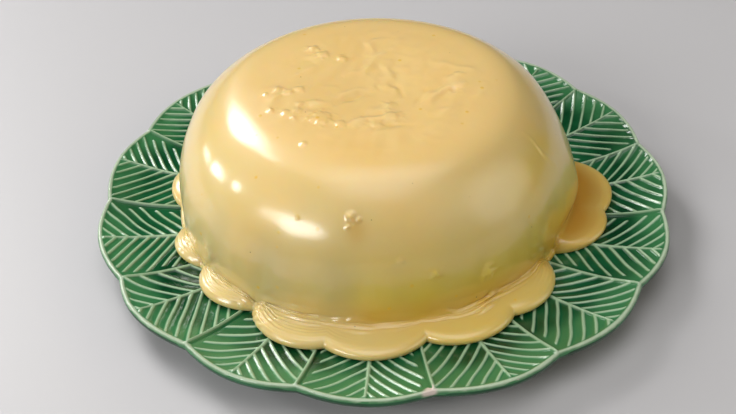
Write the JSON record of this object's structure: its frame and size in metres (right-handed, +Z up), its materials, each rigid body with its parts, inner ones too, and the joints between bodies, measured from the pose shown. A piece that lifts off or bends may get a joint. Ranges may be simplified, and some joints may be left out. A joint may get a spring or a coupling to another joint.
{
  "type": "volcano cake on a plate",
  "caption": "Tall round cake under a thick glossy yellow icing that has run down into a border of lobes, on a green glazed leaf-relief plate.",
  "frame": {"origin": "under the middle of the plate's bounding box, on the surface that the foot ring stands on", "axes": "+Z up, +X along the midrib of one leaf of the plate"},
  "size_m": [0.3338, 0.3346, 0.0915],
  "materials": {
    "icing": "thick glossy custard-yellow icing",
    "green_glaze": "clear deep green glaze, pale on the raised leaf ribs"
  },
  "bodies": {
    "root": {"iced_cake": "icing", "plate": "green_glaze"}
  },
  "joints": []
}
